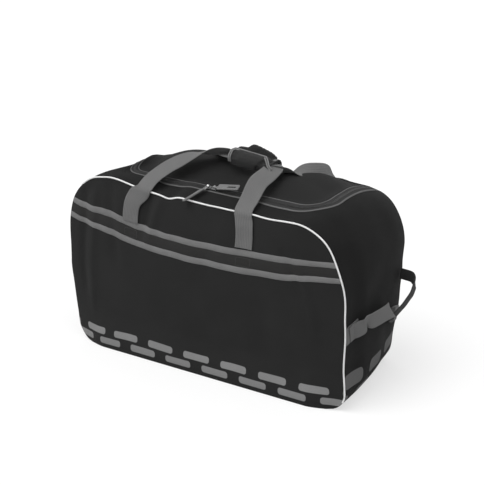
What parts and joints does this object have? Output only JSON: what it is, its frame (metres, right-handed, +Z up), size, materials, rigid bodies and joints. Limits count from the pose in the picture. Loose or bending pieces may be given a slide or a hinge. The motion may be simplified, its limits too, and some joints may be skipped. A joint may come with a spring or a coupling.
{
  "type": "equipment bag",
  "caption": "Soft black zip-top sports equipment bag with rounded ends, grey stripes, white piping, paired webbing carrying handles in a padded wrap, and grab handles on the ends",
  "frame": {"origin": "On the floor, under the middle of the flat base", "axes": "+X runs along the bag to the right as seen from the front, -Y faces out of the front panel, +Z is up"},
  "size_m": [0.8243, 0.3319, 0.5014],
  "materials": {
    "shell_fabric": "woven polyester, matte",
    "band_fabric": "dense ribbed webbing, matte",
    "grey_webbing": "woven webbing, matte",
    "grey_stripe": "woven tape, matte",
    "white_piping": "smooth piping cord",
    "zip_tape": "woven zip tape",
    "zip_coil": "moulded coil",
    "slider_metal": "plated die casting",
    "pull_fabric": "doubled webbing",
    "black_webbing": "woven webbing, matte",
    "wrap_fabric": "padded polyester with grey binding",
    "board": "stiff plastic sheet"
  },
  "bodies": {
    "root": {"base_panel": "shell_fabric", "base_board": "board", "front_panel": "shell_fabric", "rear_panel": "shell_fabric", "gusset_left": "shell_fabric", "gusset_right": "shell_fabric", "gusset_front_strip": "shell_fabric", "gusset_rear_strip": "shell_fabric", "front_piping": "white_piping", "rear_piping": "white_piping", "front_upper_stripe": "grey_stripe", "front_band": "band_fabric", "front_lower_stripe": "grey_stripe", "rear_upper_stripe": "grey_stripe", "rear_band": "band_fabric", "rear_lower_stripe": "grey_stripe", "front_handle_left_leg": "grey_webbing", "front_handle_right_leg": "grey_webbing", "rear_handle_left_leg": "grey_webbing", "rear_handle_right_leg": "grey_webbing", "outer_zip_tape": "zip_tape", "outer_zip_teeth": "zip_coil", "zip_end_tabs": "black_webbing", "right_sewn_tabs": "grey_webbing", "left_sewn_tabs": "grey_webbing", "right_end_loop": "black_webbing"},
    "lid": {"lid_panel": "shell_fabric", "lid_fold": "shell_fabric", "inner_zip_tape": "zip_tape", "inner_zip_teeth": "zip_coil"},
    "front_handle": {"front_handle_loop": "grey_webbing", "handle_wrap": "wrap_fabric"},
    "rear_handle": {"rear_handle_loop": "grey_webbing"},
    "left_slider": {"left_slider": "slider_metal"},
    "left_pull": {"left_pull_link": "slider_metal", "left_pull_tab": "pull_fabric"},
    "right_slider": {"right_slider": "slider_metal"},
    "right_pull": {"right_pull_link": "slider_metal", "right_pull_tab": "pull_fabric"},
    "right_grab": {"right_grab_handle": "grey_webbing"},
    "left_grab": {"left_grab_handle": "grey_webbing"}
  },
  "joints": [
    {"name": "lid_hinge", "type": "hinge", "parent": "root", "child": "lid", "pos_m": [0, 0.128, 0.41577], "axis": [-1, 0, 0], "range_deg": [0, 90]},
    {"name": "front_handle_swing", "type": "hinge", "parent": "root", "child": "front_handle", "pos_m": [0, -0.1505, 0.415], "axis": [1, 0, 0], "range_deg": [0, 210], "deforming": ["handle_wrap"]},
    {"name": "rear_handle_swing", "type": "hinge", "parent": "root", "child": "rear_handle", "pos_m": [0, 0.1505, 0.415], "axis": [-1, 0, 0], "range_deg": [0, 210]},
    {"name": "left_slider_slide", "type": "slide", "parent": "lid", "child": "left_slider", "axis": [-1, 0, 0], "range_m": [0, 0.051]},
    {"name": "left_pull_flip", "type": "hinge", "parent": "left_slider", "child": "left_pull", "pos_m": [-0.016, -0.08952, 0.43426], "axis": [-1, 0, 0], "range_deg": [0, 90]},
    {"name": "right_slider_slide", "type": "slide", "parent": "lid", "child": "right_slider", "axis": [1, 0, 0], "range_m": [0, 0.089]},
    {"name": "right_pull_flip", "type": "hinge", "parent": "right_slider", "child": "right_pull", "pos_m": [0, -0.08952, 0.43426], "axis": [0, -0.9793, -0.2023], "range_deg": [0, 80]},
    {"name": "right_grab_lift", "type": "hinge", "parent": "root", "child": "right_grab", "pos_m": [0.38119, 0, 0.185], "axis": [0.0836, -0.9965, 0], "range_deg": [0, 30]},
    {"name": "left_grab_lift", "type": "hinge", "parent": "root", "child": "left_grab", "pos_m": [-0.38119, 0, 0.185], "axis": [0.0836, 0.9965, 0], "range_deg": [0, 30]}
  ],
  "couplings": [
    {"joint": "front_handle_swing", "follows": "lid_hinge", "ratio": 2.3333},
    {"joint": "rear_handle_swing", "follows": "lid_hinge", "ratio": 2.3333}
  ]
}
